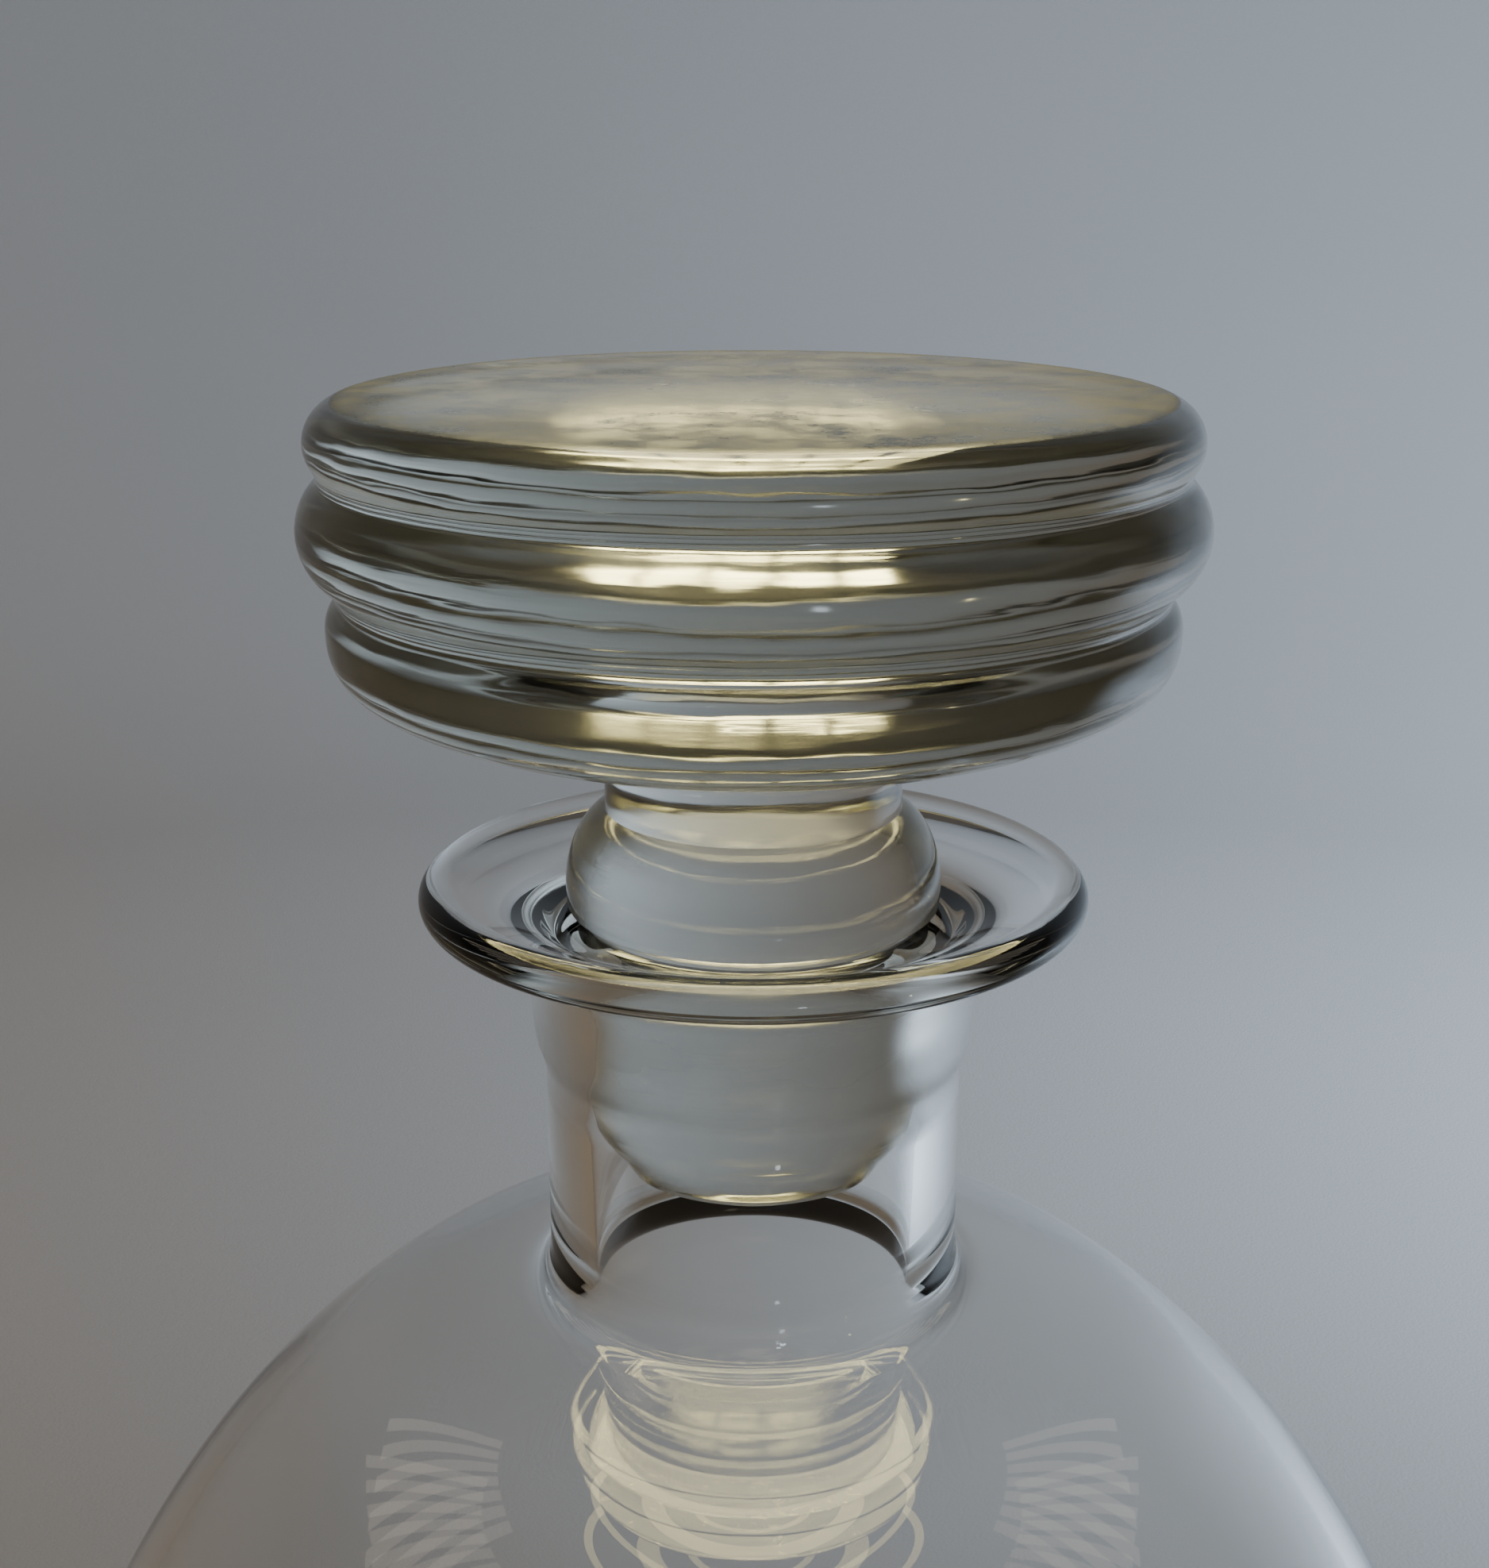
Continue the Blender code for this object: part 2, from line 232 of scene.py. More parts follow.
def make_funnel_glass():
    """Neck, bulb, stopcock barrel and stem as the one fused piece that they are."""
    top = lifted(millimetres((0, 1.3), (22.0, 1.3)), FLANGE_Z)
    body = mesh_piece("funnel_glass", turned([top[0]] + glass_outside() + [(0.0, TIP_Z)]))
    half = (barrel_high.x - barrel_low.x) / 2
    barrel_outline = [
        (0.0, half),
        *arc((10.9 * MM, half - 0.7 * MM), (0.7 * MM, 0.7 * MM), 90, -60, 8),
        (10.9 * MM, half - 2.6 * MM),
        (8.2 * MM, 2.6 * MM - half),
        *arc((7.9 * MM, 0.7 * MM - half), (0.7 * MM, 0.7 * MM), 60, -90, 8),
        (0.0, -half),
    ]
    barrel = mesh_piece("barrel", lay_along_x(turned(barrel_outline, FINE_STEPS), BARREL_Z))
    combine(body, barrel, "UNION")

    above = FLANGE_Z + 8 * MM
    clear_radius = FLANGE_RADIUS + 3 * MM
    dish = [(FLANGE_RADIUS - 0.6 * MM, 1.7 * MM), (22.2 * MM, 1.2 * MM), (19.0 * MM, -0.3 * MM)]
    passage_radius = 2.4 * MM
    passage = [
        (OUTLET_BORE, BARREL_Z + 13 * MM),
        (passage_radius, BARREL_Z + 8 * MM),
        (passage_radius, BARREL_Z - 11.5 * MM),
    ]
    below = [(STEM_BORE, BARREL_Z - 14.5 * MM), (STEM_BORE, TIP_Z - 5 * MM), (0.0, TIP_Z - 5 * MM)]
    hollow_outline = [(0.0, above), (clear_radius, above), (clear_radius, FLANGE_Z + 3 * MM)]
    hollow_outline += lifted(dish, FLANGE_Z) + glass_inside() + passage + below
    hollow = mesh_piece("hollow", turned(hollow_outline))
    combine(body, hollow, "DIFFERENCE")
    spare = 3 * MM
    wide = KEY_RADIUS + KEY_TAPER * (half + spare)
    narrow = KEY_RADIUS - KEY_TAPER * (half + spare)
    end = half + spare
    bore_outline = [(0.0, end), (wide, end), (narrow, -end), (0.0, -end)]
    bore = mesh_piece("key_bore", lay_along_x(turned(bore_outline, FINE_STEPS), BARREL_Z))
    combine(body, bore, "DIFFERENCE")

    bm = bmesh.new()
    bm.from_mesh(body.data)
    tilt = math.radians(35)
    cut_point = Vector((STEM_RADIUS, 0, TIP_Z + 0.2 * MM))
    cut_normal = Vector((-math.sin(tilt), 0, -math.cos(tilt)))
    everything = bm.verts[:] + bm.edges[:] + bm.faces[:]
    cut = bmesh.ops.bisect_plane(
        bm, geom=everything, plane_co=cut_point, plane_no=cut_normal, clear_outer=True
    )
    rims = [edge for edge in cut["geom_cut"] if isinstance(edge, bmesh.types.BMEdge)]
    bmesh.ops.bridge_loops(bm, edges=rims)
    bmesh.ops.recalc_face_normals(bm, faces=bm.faces)
    bm.to_mesh(body.data)
    bm.free()
    body.data.shade_smooth()
    body.data.set_sharp_from_angle(angle=math.radians(38))
    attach(body, "funnel")
    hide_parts("flanged_neck", "bulb_shoulder", "bulb_taper", "stopcock_barrel", "drip_stem")
    return body


def square_arc(centre_z, radius, depth, squareness, end, count):
    """Points from the rim of a dished underside inwards; a squareness of 2 is an ellipse."""
    power = 2 / squareness
    angles = [math.radians(end * (i + 1) / count) for i in range(count)]
    return [(radius * math.cos(a) ** power, centre_z - depth * math.sin(a) ** power) for a in angles]


def groove(upper, lower, fullness=0.6, count=9):
    """Rounded bottom of the groove between two beads, tangent to both."""
    start, end = upper[-1], lower[0]
    down = (start[0] - upper[-2][0], start[1] - upper[-2][1])
    away = (lower[1][0] - end[0], lower[1][1] - end[1])
    apart = (end[0] - start[0], end[1] - start[1])
    across = down[0] * away[1] - down[1] * away[0]
    reach = fullness * (apart[0] * away[1] - apart[1] * away[0]) / across
    back = fullness * (apart[0] * down[1] - apart[1] * down[0]) / across
    handles = (
        (start[0] + reach * down[0], start[1] + reach * down[1]),
        (end[0] + back * away[0], end[1] + back * away[1]),
    )
    return bezier((start, end), handles, count)[1:-1]


def make_stopper():
    """Solid stopper: flat top, three beads, waist, collar and ground plug."""
    half = 4.0 * MM
    top_bead = arc((HEAD_RADIUS - half + 0.2 * MM, 33.4 * MM), (3.0 * MM, 2.9 * MM), 90, -35, 26)
    middle_bead = arc((HEAD_RADIUS - half, 27.4 * MM), (half, 4.2 * MM), 48, -56, 26)
    lower_bead = arc((27.0 * MM, 20.6 * MM), (3.3 * MM, 2.7 * MM), 38, 0, 12)
    underside = square_arc(20.6 * MM, 30.3 * MM, 8.3 * MM, 2.7, 68, 26)
    cove = arc((14.6 * MM, 8.6 * MM), (3.7 * MM, 4.1 * MM), 100, 180, 14)
    collar = arc((9.9 * MM, 0.4 * MM), (4.0 * MM, 6.1 * MM), 75, -14, 24)
    gap = 0.06 * MM
    plug_end = -16.8 * MM
    plug_radius = SOCKET_RADIUS - gap
    plug_foot = bezier(
        ((11.15 * MM, -17.2 * MM), (9.2 * MM, -21.0 * MM)),
        ((11.0 * MM, -18.2 * MM), (9.8 * MM, -20.0 * MM)),
        8,
    )
    plug = [
        (13.0 * MM, -1.5 * MM),
        (12.2 * MM, -1.75 * MM),
        (plug_radius, -2.2 * MM),
        (plug_radius + SOCKET_TAPER * (plug_end + 2.9 * MM), plug_end),
        *plug_foot,
        (7.2 * MM, -22.0 * MM),
        (6.7 * MM, -22.2 * MM),
        (0.0, -22.2 * MM),
    ]
    beads = top_bead + groove(top_bead, middle_bead) + middle_bead
    beads += groove(middle_bead, lower_bead) + lower_bead
    outline = [(0.0, 36.3 * MM)] + beads + underside + cove + collar + plug
    stopper = mesh_piece("stopper", turned(lifted(outline, FLANGE_Z)))
    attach(stopper, "stopper")
    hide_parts("ground_stopper")
    return stopper


# The stopcock's loose pieces, each turned about the X axis

def stopcock_piece(name, bm, body):
    piece = mesh_piece(name, bm)
    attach(piece, body)
    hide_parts(name.replace("fine_", ""))
    return piece


def rounded_block(size, place, radius, segments):
    bm = bmesh.new()
    bmesh.ops.create_cube(bm, size=1.0)
    bmesh.ops.scale(bm, vec=size, verts=bm.verts)
    bmesh.ops.bevel(
        bm, geom=bm.edges[:], offset=radius, segments=segments, profile=0.5, affect="EDGES", material=-1
    )
    bmesh.ops.translate(bm, vec=place, verts=bm.verts)
    return bm


def make_stopcock_key():
    """Tapered key with a cross port, a rounded bar handle with a round boss at its wide end and a threaded
    tail.
    """
    half = (barrel_high.x - barrel_low.x) / 2
    shoulder = half + 0.3 * MM
    gap = 0.3 * MM
    taper_end = -half + 1.0 * MM
    tail_end = -half - 14.0 * MM
    pitch = 1.5 * MM
    thread = []
    level = taper_end - 5.0 * MM
    while level > tail_end + 1.6 * MM:
        thread += [(3.4 * MM, level), (3.4 * MM, level - 0.3 * pitch), (3.0 * MM, level - 0.6 * pitch)]
        level -= pitch
    outline = [
        (0.0, shoulder + 3.0 * MM),
        *arc((9.2 * MM, shoulder + 2.2 * MM), (0.8 * MM, 0.8 * MM), 90, 0, 6),
        *arc((9.2 * MM, shoulder + 0.8 * MM), (0.8 * MM, 0.8 * MM), 0, -90, 6),
        (KEY_RADIUS + KEY_TAPER * shoulder - gap, shoulder),
        (KEY_RADIUS + KEY_TAPER * (taper_end + 0.6 * MM) - gap, taper_end + 0.6 * MM),
        (KEY_RADIUS + KEY_TAPER * taper_end - gap - 0.5 * MM, taper_end),
        (3.4 * MM, taper_end),
        *thread,
        (3.0 * MM, tail_end + 0.5 * MM),
        (2.6 * MM, tail_end),
        (0.0, tail_end),
    ]
    key = mesh_piece("fine_stopcock_key", lay_along_x(turned(outline, FINE_STEPS), BARREL_Z))
    handle_x = shoulder + 2.0 * MM + 6.5 * MM
    handle_size = (13.0 * MM, 46.0 * MM, 7.0 * MM)
    handle = rounded_block(handle_size, (handle_x, 0, BARREL_Z), 2.4 * MM, 6)
    combine(key, mesh_piece("handle", handle), "UNION")
    boss_outline = millimetres((0.0, -4.3), (5.4, -4.3), (6.2, -3.0), (6.2, 3.0), (5.4, 4.3), (0.0, 4.3))
    boss = turned(boss_outline, 64)
    bmesh.ops.translate(boss, vec=(shoulder + 7.4 * MM, 0, BARREL_Z), verts=boss.verts)
    combine(key, mesh_piece("boss", boss), "UNION")
    port = turned([(0.0, -15 * MM), (2.0 * MM, -15 * MM), (2.0 * MM, 15 * MM), (0.0, 15 * MM)], 48)
    bmesh.ops.transform(port, matrix=Matrix.Rotation(math.pi / 2, 4, "X"), verts=port.verts)
    bmesh.ops.translate(port, vec=(0, 0, BARREL_Z), verts=port.verts)
    combine(key, mesh_piece("key_port", port), "DIFFERENCE")
    key.data.shade_smooth()
    key.data.set_sharp_from_angle(angle=math.radians(32))
    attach(key, "key")
    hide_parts("stopcock_key")
    return key


def make_key_washer(start):
    edge = 0.35 * MM
    outline = [
        (7.4 * MM - edge, start),
        (7.4 * MM, start - edge),
        (7.4 * MM, start - 1.6 * MM + edge),
        (7.4 * MM - edge, start - 1.6 * MM),
        (3.7 * MM, start - 1.6 * MM),
        (3.7 * MM, start),
    ]
    washer = lay_along_x(turned(outline, FINE_STEPS, closed=True), BARREL_Z)
    return stopcock_piece("fine_key_washer", washer, "key")


def make_key_o_ring(start):
    radius = 1.3 * MM
    outline = arc((3.7 * MM + radius, start - radius), (radius, radius), 90, -255, 24)
    ring = lay_along_x(turned(outline, FINE_STEPS, closed=True), BARREL_Z)
    return stopcock_piece("fine_key_o_ring", ring, "key")


def make_retaining_nut(start):
    """Round nut with a fluted grip, screwed onto the key's tail."""
    outline = [
        (6.4 * MM, start),
        (7.4 * MM, start - 0.8 * MM),
        *arc((7.3 * MM, start - 2.2 * MM), (0.7 * MM, 0.7 * MM), 80, 0, 5),
        *arc((7.3 * MM, start - 6.4 * MM), (0.7 * MM, 0.7 * MM), 0, -80, 5),
        (6.6 * MM, start - 7.4 * MM),
        (3.7 * MM, start - 7.4 * MM),
        (3.7 * MM, start),
    ]
    nut = mesh_piece("fine_retaining_nut", lay_along_x(turned(outline, FINE_STEPS, closed=True), BARREL_Z))
    flutes = 16
    flute_radius = 0.95 * MM
    circle = 8.5 * MM
    cutters = bmesh.new()
    for i in range(flutes):
        angle = math.tau * (i + 0.5) / flutes
        place = Vector((start - 4.3 * MM, circle * math.cos(angle), BARREL_Z + circle * math.sin(angle)))
        turn = Matrix.Translation(place) @ Matrix.Rotation(math.pi / 2, 4, "Y")
        bmesh.ops.create_cone(
            cutters,
            cap_ends=True,
            segments=20,
            radius1=flute_radius,
            radius2=flute_radius,
            depth=12 * MM,
            matrix=turn,
        )
    combine(nut, mesh_piece("flutes", cutters), "DIFFERENCE")
    nut.data.shade_smooth()
    nut.data.set_sharp_from_angle(angle=math.radians(32))
    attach(nut, "nut")
    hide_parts("retaining_nut")
    return nut


# Materials

def new_material(name):
    material = bpy.data.materials.new(name)
    material.use_nodes = True
    nodes = material.node_tree.nodes
    return material, nodes, material.node_tree.links, nodes["Principled BSDF"]


def math_node(nodes, links, operation, first, second=None, third=None, clamp=False):
    """A Math node. Each value is a number or another node's output."""
    node = nodes.new("ShaderNodeMath")
    node.operation = operation
    node.use_clamp = clamp
    for socket, value in zip(node.inputs, (first, second, third)):
        if isinstance(value, bpy.types.NodeSocket):
            links.new(value, socket)
        elif value is not None:
            socket.default_value = value
    return node.outputs[0]


def object_axes(nodes, links):
    """The object coordinates, and their X, Y and Z."""
    coordinates = nodes.new("ShaderNodeTexCoord")
    split = nodes.new("ShaderNodeSeparateXYZ")
    links.new(coordinates.outputs["Object"], split.inputs[0])
    return coordinates.outputs["Object"], split.outputs


def noise(nodes, links, place, scale, detail=3.0, roughness=0.5, distortion=0.0):
    """Noise whose scale may differ along X, Y and Z."""
    mapping = nodes.new("ShaderNodeMapping")
    mapping.inputs["Scale"].default_value = scale
    links.new(place, mapping.inputs["Vector"])
    texture = nodes.new("ShaderNodeTexNoise")
    texture.inputs["Scale"].default_value = 1.0
    texture.inputs["Detail"].default_value = detail
    texture.inputs["Roughness"].default_value = roughness
    texture.inputs["Distortion"].default_value = distortion
    links.new(mapping.outputs["Vector"], texture.inputs["Vector"])
    return texture.outputs["Fac"]


def ramp(nodes, links, value, low, high, to_low=0.0, to_high=1.0):
    """Maps a value from one range to another, smoothly and with both ends held."""
    node = nodes.new("ShaderNodeMapRange")
    node.interpolation_type = "SMOOTHSTEP"
    links.new(value, node.inputs["Value"])
    for name, number in (("From Min", low), ("From Max", high), ("To Min", to_low), ("To Max", to_high)):
        node.inputs[name].default_value = number
    return node.outputs["Result"]


def between(nodes, links, value, low, high, soft):
    """1 between two limits and 0 outside them, with soft edges."""
    rise = ramp(nodes, links, value, low - soft, low + soft)
    fall = ramp(nodes, links, value, high - soft, high + soft, 1.0, 0.0)
    return math_node(nodes, links, "MULTIPLY", rise, fall)


def bump(nodes, links, height, distance, below=None):
    node = nodes.new("ShaderNodeBump")
    node.inputs["Distance"].default_value = distance
    links.new(height, node.inputs["Height"])
    if below is not None:
        links.new(below, node.inputs["Normal"])
    return node.outputs["Normal"]


def tinted_body(nodes, links, colour, density):
    """Absorption inside the glass, which shows where the path through it is long."""
    absorption = nodes.new("ShaderNodeVolumeAbsorption")
    absorption.inputs["Color"].default_value = (*colour, 1)
    absorption.inputs["Density"].default_value = density
    links.new(absorption.outputs[0], nodes["Material Output"].inputs["Volume"])


def glass_base(name):
    material, nodes, links, shader = new_material(name)
    shader.inputs["Base Color"].default_value = (1, 1, 1, 1)
    shader.inputs["Transmission Weight"].default_value = 1.0
    shader.inputs["IOR"].default_value = 1.5
    return material, nodes, links, shader


def stopper_glass():
    """Pressed solid glass: ring-wise ripples from the mould, a hazy flat top and a ground plug."""
    material, nodes, links, shader = glass_base("stopper_glass")
    place, axes = object_axes(nodes, links)
    z = axes[2]
    ripple = noise(nodes, links, place, (45.0, 45.0, 800.0), 3.0, 0.5)
    swell = noise(nodes, links, place, (70.0, 70.0, 240.0), 2.0, 0.5)
    plug = ramp(nodes, links, z, FLANGE_Z - 1.9 * MM, FLANGE_Z - 1.6 * MM, 1.0, 0.0)
    plug_foot = ramp(nodes, links, z, FLANGE_Z - 17.2 * MM, FLANGE_Z - 16.6 * MM)
    ground = math_node(nodes, links, "MULTIPLY", plug, plug_foot)
    dust = noise(nodes, links, place, (260.0, 260.0, 260.0), 5.0, 0.65)
    top = ramp(nodes, links, z, stopper_high.z - 0.25 * MM, stopper_high.z - 0.1 * MM)
    haze = math_node(nodes, links, "MULTIPLY", top, ramp(nodes, links, dust, 0.3, 0.8, 0.18, 0.45))
    smears = ramp(nodes, links, swell, 0.35, 0.75, 0.06, 0.14)
    frost = math_node(nodes, links, "MULTIPLY", ground, 0.16)
    rough = math_node(nodes, links, "ADD", smears, math_node(nodes, links, "ADD", haze, frost))
    links.new(rough, shader.inputs["Roughness"])
    waves = bump(nodes, links, swell, 0.25 * MM)
    links.new(bump(nodes, links, ripple, 0.03 * MM, waves), shader.inputs["Normal"])
    tinted_body(nodes, links, (0.66, 0.66, 0.58), 26.0)
    return material


def funnel_glass():
    """Blown glass: smooth and faintly wavy, ground inside the socket, with a thin film of dust."""
    material, nodes, links, shader = glass_base("clear_glass")
    place, (x, y, z) = object_axes(nodes, links)
    flat = nodes.new("ShaderNodeCombineXYZ")
    links.new(x, flat.inputs["X"])
    links.new(y, flat.inputs["Y"])
    length = nodes.new("ShaderNodeVectorMath")
    length.operation = "LENGTH"
    links.new(flat.outputs[0], length.inputs[0])
    radius = length.outputs["Value"]
    socket = between(nodes, links, z, FLANGE_Z - 13.8 * MM, FLANGE_Z - 2.6 * MM, 0.3 * MM)
    inner = ramp(nodes, links, radius, 12.6 * MM, 12.9 * MM, 1.0, 0.0)
    ground = math_node(nodes, links, "MULTIPLY", socket, inner)
    smears = noise(nodes, links, place, (28.0, 28.0, 22.0), 4.0, 0.6, 0.4)
    film = ramp(nodes, links, smears, 0.45, 0.75, 0.0, 0.05)
    frost = math_node(nodes, links, "MULTIPLY", ground, 0.2)
    links.new(math_node(nodes, links, "ADD", film, frost), shader.inputs["Roughness"])
    blown = noise(nodes, links, place, (26.0, 26.0, 14.0), 2.0, 0.5)
    links.new(bump(nodes, links, blown, 0.2 * MM), shader.inputs["Normal"])
    tinted_body(nodes, links, (0.70, 0.69, 0.52), 16.0)
    return material


def mixed(nodes, links, factor, low, high):
    """A colour between two, chosen by a value."""
    mix = nodes.new("ShaderNodeMix")
    mix.data_type = "RGBA"
    links.new(factor, mix.inputs["Factor"])
    mix.inputs["A"].default_value = (*low, 1)
    mix.inputs["B"].default_value = (*high, 1)
    return mix.outputs["Result"]


def ptfe(name, low, high, grain):
    """Waxy white fluoropolymer, turned on a lathe and faintly marked by handling."""
    material, nodes, links, shader = new_material(name)
    place = object_axes(nodes, links)[0]
    cloud = noise(nodes, links, place, (160.0, 160.0, 160.0), 4.0, 0.6)
    links.new(mixed(nodes, links, cloud, low, high), shader.inputs["Base Color"])
    fine = noise(nodes, links, place, (grain, 90.0, 90.0), 3.0, 0.6)
    links.new(ramp(nodes, links, fine, 0.3, 0.7, 0.30, 0.44), shader.inputs["Roughness"])
    links.new(bump(nodes, links, fine, 0.02 * MM), shader.inputs["Normal"])
    shader.inputs["IOR"].default_value = 1.36
    return material


def black_rubber():
    material, nodes, links, shader = new_material("black_rubber")
    place = object_axes(nodes, links)[0]
    bloom = noise(nodes, links, place, (500.0, 500.0, 500.0), 5.0, 0.7)
    colour = mixed(nodes, links, bloom, (0.012, 0.012, 0.013), (0.04, 0.04, 0.042))
    links.new(colour, shader.inputs["Base Color"])
    links.new(ramp(nodes, links, bloom, 0.3, 0.7, 0.45, 0.7), shader.inputs["Roughness"])
    links.new(bump(nodes, links, bloom, 0.02 * MM), shader.inputs["Normal"])
    return material


def nut_plastic():
    """Blue moulded plastic with a fine spark-eroded grain."""
    material, nodes, links, shader = new_material("nut_plastic")
    place = object_axes(nodes, links)[0]
    cloud = noise(nodes, links, place, (120.0, 120.0, 120.0), 3.0, 0.5)
    colour = mixed(nodes, links, cloud, (0.045, 0.16, 0.30), (0.06, 0.21, 0.36))
    links.new(colour, shader.inputs["Base Color"])
    grain = noise(nodes, links, place, (2600.0, 2600.0, 2600.0), 2.0, 0.5)
    links.new(ramp(nodes, links, grain, 0.3, 0.7, 0.28, 0.42), shader.inputs["Roughness"])
    links.new(bump(nodes, links, grain, 0.012 * MM), shader.inputs["Normal"])
    return material


# Studio

def make_camera():
    """Close view from above the flange, slightly to the left of the axis."""
    data = bpy.data.cameras.new("camera")
    data.sensor_width = 36.0
    data.lens = 51.04
    camera = bpy.data.objects.new("camera", data)
    bpy.context.scene.collection.objects.link(camera)
    camera.location = (-0.65 * MM, -156.3 * MM, FLANGE_Z + 54.5 * MM)
    camera.rotation_euler = (math.pi / 2 - 0.291, 0, 0)
    data.clip_start = 0.005
    data.clip_end = 50
    bpy.context.scene.camera = camera


def studio_paint():
    """Matt pale paint with a faint roller texture."""
    material, nodes, links, shader = new_material("studio_paint")
    place = object_axes(nodes, links)[0]
    patches = noise(nodes, links, place, (2.5, 2.5, 2.5), 3.0, 0.5)
    tone = nodes.new("ShaderNodeMix")
    tone.data_type = "RGBA"
    tone.inputs["A"].default_value = (0.41, 0.41, 0.41, 1)
    tone.inputs["B"].default_value = (0.44, 0.44, 0.44, 1)
    links.new(patches, tone.inputs["Factor"])
    links.new(tone.outputs["Result"], shader.inputs["Base Color"])
    shader.inputs["Roughness"].default_value = 0.9
    grain = noise(nodes, links, place, (900.0, 900.0, 900.0), 2.0, 0.5)
    links.new(bump(nodes, links, grain, 0.15 * MM), shader.inputs["Normal"])
    return material


def make_studio():
    """Round pale floor that curves up into a wall all round."""
    floor_z = TIP_Z - 30 * MM
    outline = [(0.0, 0.0), (1.2, 0.0)] + arc((1.2, 0.9), (0.9, 0.9), -90, 0, 24)[1:] + [(2.1, 2.6)]
    bowl = mesh_piece("studio_bowl", turned(lifted(outline, floor_z), FINE_STEPS))
    bowl.data.materials.append(studio_paint())
    return bowl


HEAD_CENTRE = Vector((0, 0, FLANGE_Z + 0.02))


def from_head(azimuth, elevation, distance):
    """A place seen from the stopper. Azimuth 0 is towards the camera and 90 is towards +X, in degrees."""
    a, e = math.radians(azimuth), math.radians(elevation)
    direction = Vector((math.sin(a) * math.cos(e), -math.cos(a) * math.cos(e), math.sin(e)))
    return HEAD_CENTRE + distance * direction


def area_light(name, place, target, size, brightness, colour, lit, spread=180, blockers=None):
    """A rectangular panel that lights one group. Its brightness is what a mirror would show of it."""
    data = bpy.data.lights.new(name, "AREA")
    data.shape = "RECTANGLE"
    data.size, data.size_y = size
    data.energy = brightness * math.pi * size[0] * size[1]
    data.color = colour
    data.spread = math.radians(spread)
    light = bpy.data.objects.new(name, data)
    bpy.context.scene.collection.objects.link(light)
    light.location = place
    light.rotation_euler = (Vector(target) - Vector(place)).to_track_quat("-Z", "Y").to_euler()
    light.visible_camera = False
    light.light_linking.receiver_collection = lit
    light.light_linking.blocker_collection = blockers
    return light


def light_group(name, pieces):
    """A collection that lights can be linked to."""
    group = bpy.data.collections.new(name)
    for piece in pieces:
        group.objects.link(piece)
    return group


WARM = (1.0, 0.87, 0.42)
CREAM = (1.0, 0.88, 0.70)
SKY = (0.80, 0.90, 1.0)
PALE_SKY = (0.68, 0.83, 1.0)
AMBER = (1.0, 0.70, 0.40)


def make_skylight(lit):
    """Overhead window of warm panes, a little behind the funnel."""
    columns, rows = 5, 3
    width, length, step_x, step_y = 0.085, 0.30, 0.105, 0.33
    for column in range(columns):
        for row in range(rows):
            x = (column - (columns - 1) / 2) * step_x + 0.03
            y = (row - (rows - 1) / 2) * step_y + 0.42
            place = Vector((x, y, HEAD_CENTRE.z + 0.8))
            area_light("skylight_pane", place, place - Vector((0, 0, 1)), (width, length), 16.0, WARM, lit)


def glow(name, colour, brightness):
    material = bpy.data.materials.new(name)
    material.use_nodes = True
    nodes = material.node_tree.nodes
    nodes.clear()
    emission = nodes.new("ShaderNodeEmission")
    emission.inputs["Color"].default_value = (*colour, 1)
    emission.inputs["Strength"].default_value = brightness
    output = nodes.new("ShaderNodeOutputMaterial")
    material.node_tree.links.new(emission.outputs[0], output.inputs[0])
    return material


def make_ring_lamp(lit):
    """Ceiling lamp of three glowing rings, just in front of the funnel."""
    warm_glow = glow("ring_lamp_glow", WARM, 5.0)
    centre = Vector((0.0, -0.02, HEAD_CENTRE.z + 0.9))
    for radius, tube in ((0.40, 0.012), (0.24, 0.03), (0.13, 0.010)):
        outline = arc((radius, 0.0), (tube, tube / 2), 0, 345, 16)
        ring = mesh_piece("ring_lamp", turned(lifted(outline, centre.z), FINE_STEPS, closed=True))
        ring.data.transform(Matrix.Translation((centre.x, centre.y, 0)))
        ring.data.materials.append(warm_glow)
        ring.visible_camera = False
        ring.visible_shadow = False
        ring.visible_diffuse = False
        ring.light_linking.receiver_collection = lit


def make_side_blinds(lit):
    """Pleated cream blinds at both sides, as rows of narrow upright slats."""
    for side in (-1, 1):
        for slat in range(7):
            place = from_head(side * (86 + 6 * slat), 38, 1.25)
            area_light("blind_slat", place, HEAD_CENTRE, (0.06, 0.55), 1.1, CREAM, lit)


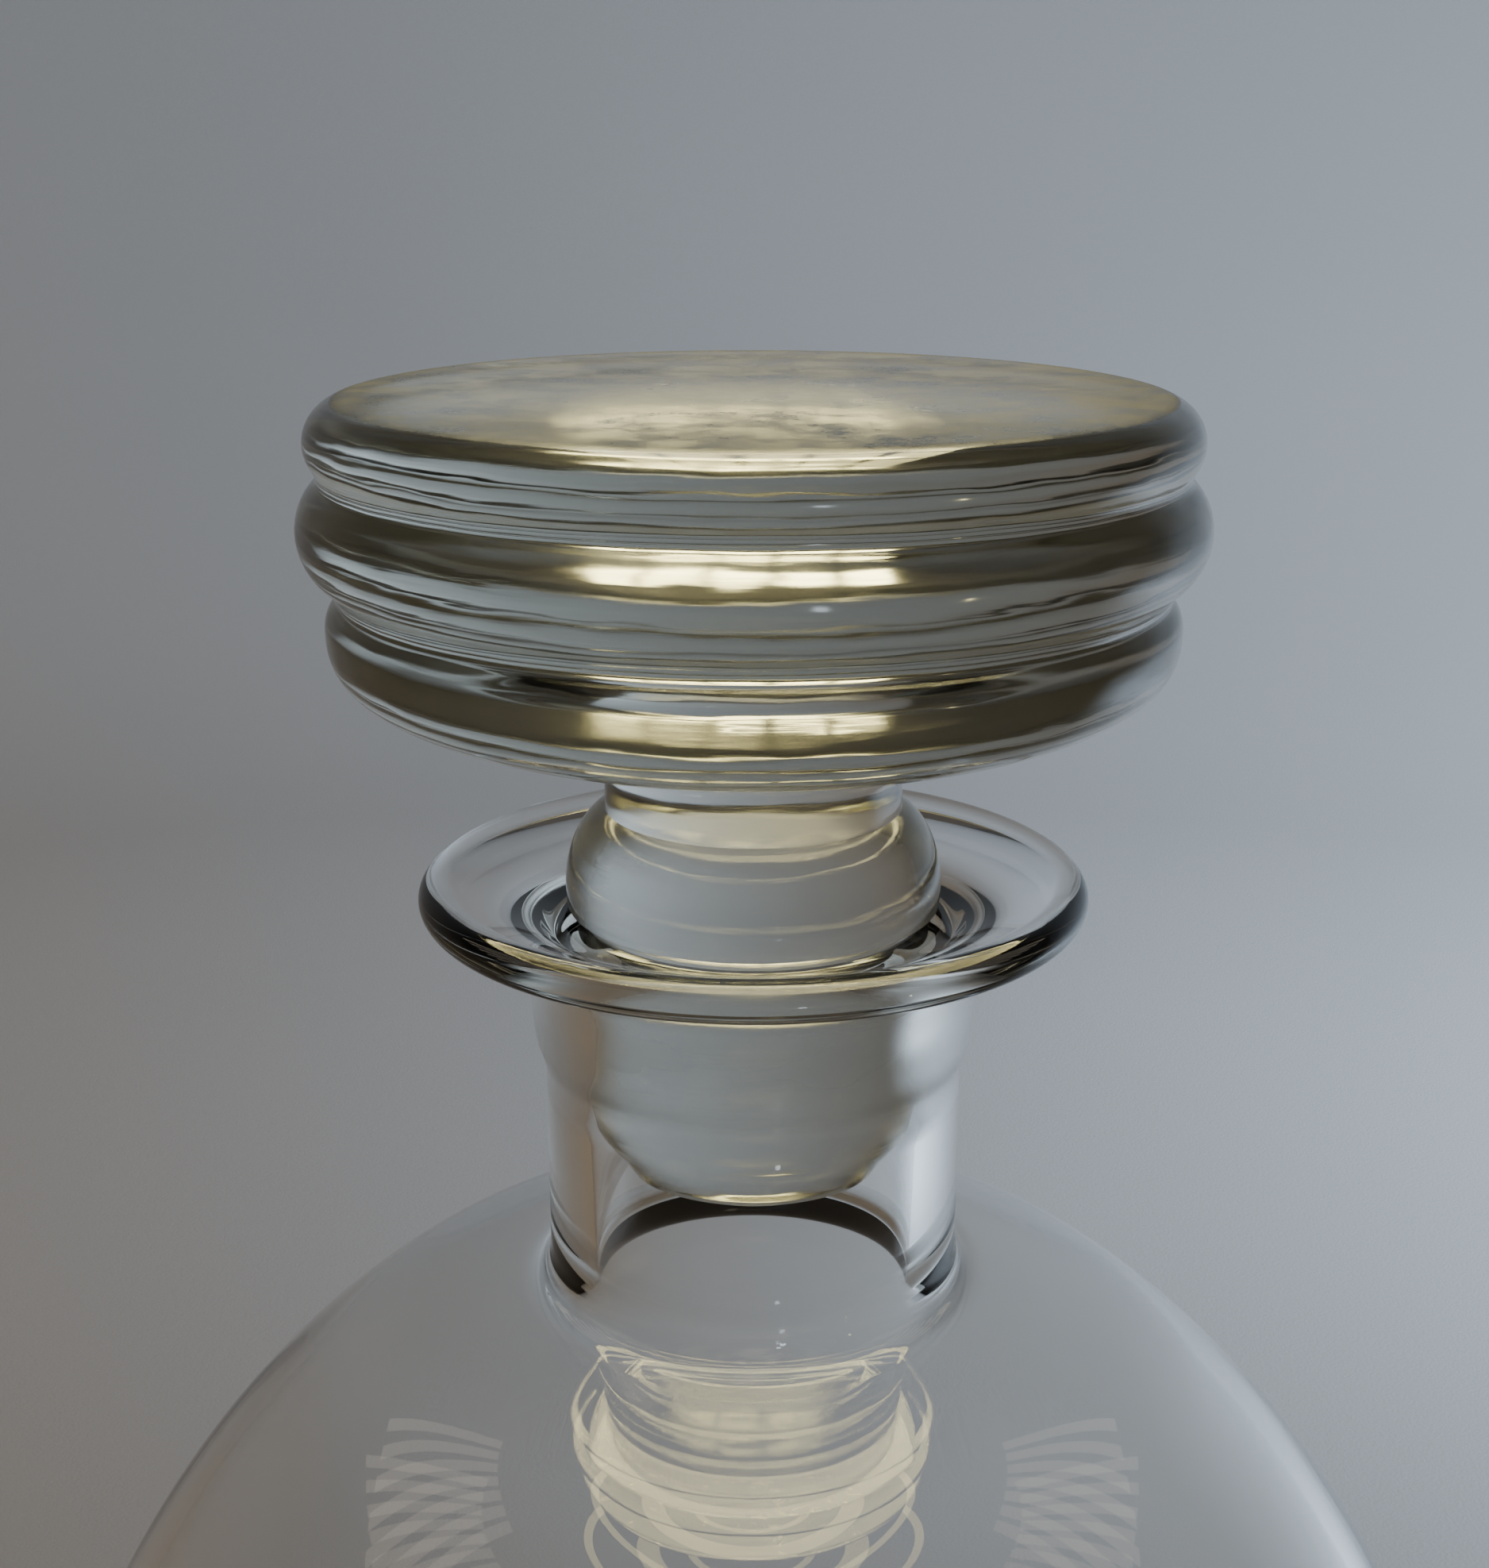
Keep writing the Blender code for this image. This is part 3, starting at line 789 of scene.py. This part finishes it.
def make_lights(vessel, stopper, studio, loose_pieces):
    glass_group = light_group("glass_group", [vessel, stopper])
    vessel_group = light_group("vessel_group", [vessel])
    stopper_group = light_group("stopper_group", [stopper])
    matt_group = light_group("matt_group", [studio] + loose_pieces)
    loose_group = light_group("loose_group", loose_pieces)
    make_skylight(stopper_group)
    make_ring_lamp(vessel_group)
    make_side_blinds(vessel_group)
    area_light("bench_glow", from_head(0, -50, 1.1), HEAD_CENTRE, (1.8, 1.2), 0.30, CREAM, vessel_group)
    area_light("room_glow", from_head(0, 15, 1.3), HEAD_CENTRE, (2.4, 1.4), 0.14, CREAM, vessel_group)
    window_place, window_size = (0.9, 0.25, 0.35), (0.4, 0.5)
    wall = (0.75, 1.3, -0.1)
    area_light(
        "right_window", window_place, wall, window_size, 36.0, PALE_SKY, matt_group, 150, matt_group
    )
    glow_place, glow_size = (-1.1, 0.25, 0.9), (0.6, 0.6)
    area_light(
        "left_glow", glow_place, (-0.5, 1.0, -0.2), glow_size, 4.6, AMBER, matt_group, 180, matt_group
    )
    fill_place, fill_size = (0, -0.3, 1.7), (1.0, 0.8)
    area_light(
        "room_fill", fill_place, (0, -1.6, 0.2), fill_size, 1.6, CREAM, matt_group, 180, matt_group
    )
    area_light("front_fill", (0.1, -1.0, 0.5), (0, 0, 0), (0.5, 0.5), 2.5, CREAM, loose_group, 60, matt_group)
    area_light("front_pane", from_head(15, -6, 1.0), HEAD_CENTRE, (0.05, 0.09), 14.0, SKY, glass_group)
    area_light("small_lamp", from_head(50, -6, 1.0), HEAD_CENTRE, (0.016, 0.016), 150.0, WARM, glass_group)
    world = bpy.data.worlds.new("world")
    world.use_nodes = True
    world.node_tree.nodes["Background"].inputs["Color"].default_value = (1.0, 0.90, 0.80, 1)
    world.node_tree.nodes["Background"].inputs["Strength"].default_value = 0.08
    bpy.context.scene.world = world


make_camera()
vessel = make_funnel_glass()
vessel.data.materials.append(funnel_glass())
stopper = make_stopper()
stopper.data.materials.append(stopper_glass())
key = make_stopcock_key()
key.data.materials.append(ptfe("white_ptfe", (0.80, 0.80, 0.785), (0.88, 0.88, 0.865), 900.0))
washer_start = barrel_low.x - 0.3 * MM
washer = make_key_washer(washer_start)
washer.data.materials.append(ptfe("washer_ptfe", (0.76, 0.76, 0.74), (0.84, 0.84, 0.82), 400.0))
o_ring_start = washer_start - 1.9 * MM
o_ring = make_key_o_ring(o_ring_start)
o_ring.data.materials.append(black_rubber())
nut = make_retaining_nut(o_ring_start - 2.9 * MM)
nut.data.materials.append(nut_plastic())
bowl = make_studio()
make_lights(vessel, stopper, bowl, [key, washer, o_ring, nut])
